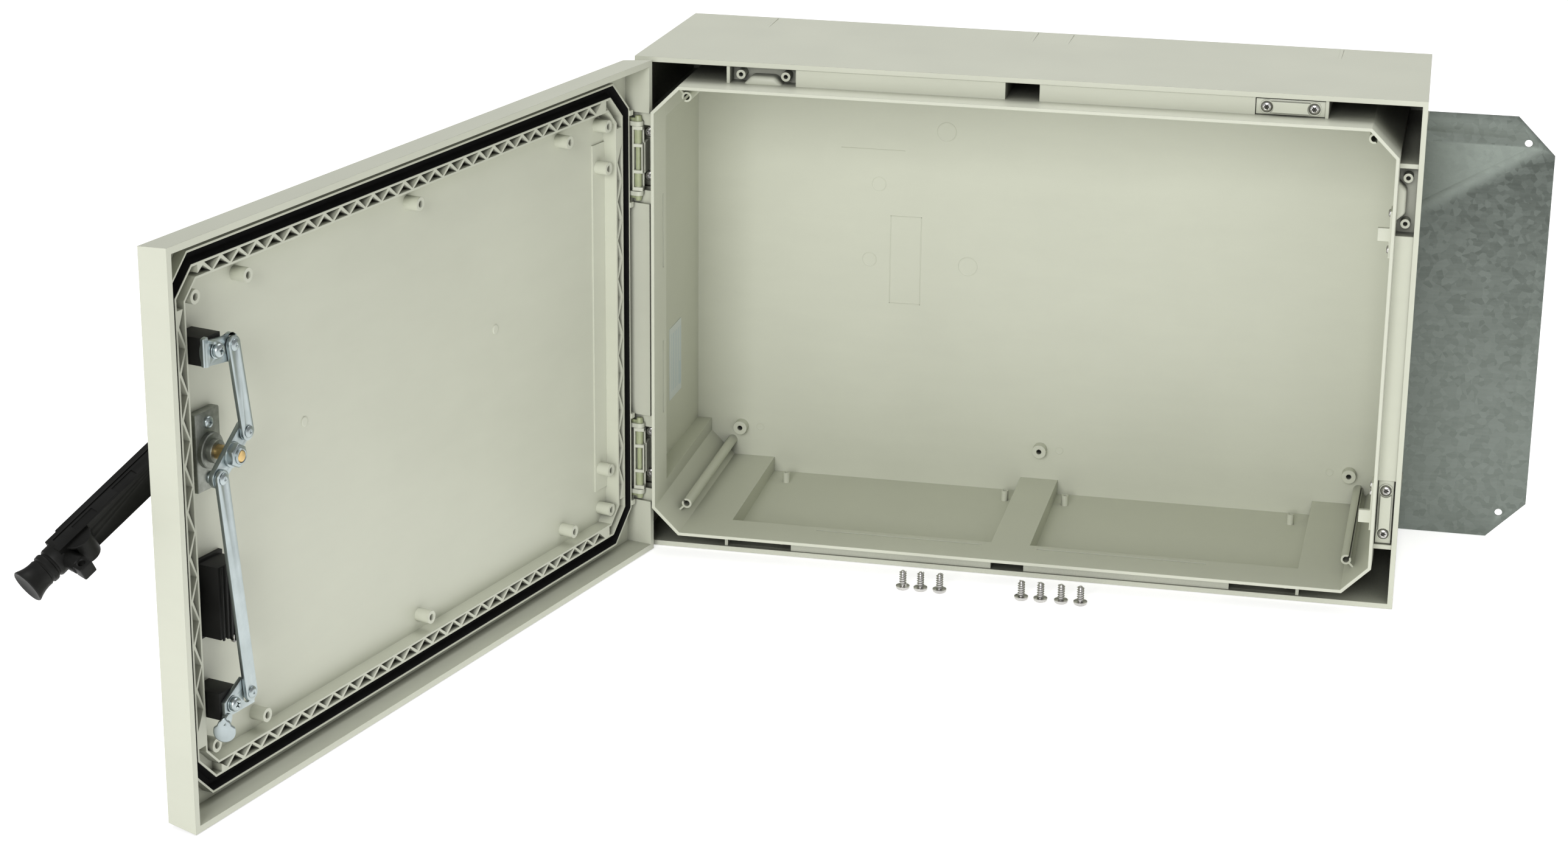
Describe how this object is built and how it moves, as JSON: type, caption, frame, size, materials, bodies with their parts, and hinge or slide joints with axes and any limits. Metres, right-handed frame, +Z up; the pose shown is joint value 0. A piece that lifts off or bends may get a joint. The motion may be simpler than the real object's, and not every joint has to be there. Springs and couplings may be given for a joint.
{
  "type": "wall cabinet with swing door",
  "caption": "Moulded wall cabinet with a sealed swing door, two-point lock, swing lever handle, mounting plate and loose screws.",
  "frame": {"origin": "lower left front corner of the cabinet body, on its front plane", "axes": "+X to the right along the body's width, +Y to the back along its depth, +Z up"},
  "size_m": [0.9437, 0.8093, 0.4],
  "materials": {
    "shell": "moulded, fine satin",
    "rubber": "matte foamed seal",
    "nylon": "translucent natural",
    "stainless": "bright",
    "zinc": "blue zinc plated",
    "die_cast": "as cast",
    "brass": "turned",
    "black_plastic": "fine grained",
    "galvanised": "hot-dip spangle",
    "label": "printed paper"
  },
  "bodies": {
    "cabinet": {"body_shell": "shell", "upper_hinge_leaf": "shell", "lower_hinge_leaf": "shell", "hinge_screws": "stainless", "top_keeper": "shell", "side_keeper": "shell", "keeper_screws": "stainless", "upper_striker": "shell", "lower_striker": "shell", "striker_screws": "stainless", "mounting_plate": "galvanised", "plate_screws": "stainless", "inspection_sticker": "label"},
    "door": {"door_shell": "shell", "door_gasket": "rubber", "upper_hinge_pin": "nylon", "lower_hinge_pin": "nylon", "lock_base_plate": "die_cast", "lock_base_screws": "stainless", "latch_screws": "stainless", "upper_spacer": "black_plastic", "lower_spacer": "black_plastic", "handle_housing": "black_plastic", "housing_seal": "rubber", "housing_screw": "stainless"},
    "hub": {"lock_shaft": "brass", "crank_plate": "zinc", "lock_nut": "zinc", "crank_rivets": "zinc", "handle_hub": "black_plastic", "lever_pin": "stainless"},
    "lever": {"swing_lever": "black_plastic"},
    "barrel": {"lock_cylinder": "black_plastic"},
    "upper_push_link": {"upper_link": "zinc", "upper_link_rivet": "zinc"},
    "lower_push_link": {"lower_link": "zinc", "lower_link_rivet": "zinc"},
    "upper_latch": {"upper_latch_plate": "zinc"},
    "lower_latch": {"lower_latch_plate": "zinc"}
  },
  "joints": [
    {"name": "door_swing", "type": "hinge", "parent": "cabinet", "child": "door", "pos_m": [0.0056, -0.0115, 0.2], "axis": [0, 0, -1], "range_deg": [-105.5, 14.5]},
    {"name": "handle_turn", "type": "hinge", "parent": "door", "child": "hub", "pos_m": [-0.14647, -0.52805, 0.248], "axis": [-0.9636, 0.2672, 0], "range_deg": [-58, 0]},
    {"name": "lever_tilt", "type": "hinge", "parent": "hub", "child": "lever", "pos_m": [-0.17056, -0.52137, 0.248], "axis": [0.1416, 0.5106, -0.848], "range_deg": [-16, 0]},
    {"name": "key_turn", "type": "hinge", "parent": "lever", "child": "barrel", "pos_m": [-0.22133, -0.59611, 0.19451], "axis": [-0.8638, 0.4821, 0.1461], "range_deg": [0, 90]},
    {"name": "upper_link_turn", "type": "hinge", "parent": "hub", "child": "upper_push_link", "pos_m": [-0.12335, -0.51952, 0.2598], "axis": [-0.9636, 0.2672, 0], "range_deg": [-1, 73]},
    {"name": "lower_link_turn", "type": "hinge", "parent": "hub", "child": "lower_push_link", "pos_m": [-0.13105, -0.54727, 0.2362], "axis": [-0.9636, 0.2672, 0], "range_deg": [-1, 66]},
    {"name": "upper_latch_turn", "type": "hinge", "parent": "door", "child": "upper_latch", "pos_m": [-0.13281, -0.54429, 0.322], "axis": [-0.9636, 0.2672, 0], "range_deg": [-25, 1]},
    {"name": "lower_latch_turn", "type": "hinge", "parent": "door", "child": "lower_latch", "pos_m": [-0.13281, -0.54429, 0.078], "axis": [-0.9636, 0.2672, 0], "range_deg": [-1, 25]}
  ],
  "couplings": [
    {"joint": "upper_link_turn", "follows": "handle_turn", "ratio": -1.243},
    {"joint": "lower_link_turn", "follows": "handle_turn", "ratio": -1.112},
    {"joint": "upper_latch_turn", "follows": "handle_turn", "ratio": 0.417},
    {"joint": "lower_latch_turn", "follows": "handle_turn", "ratio": -0.422}
  ]
}
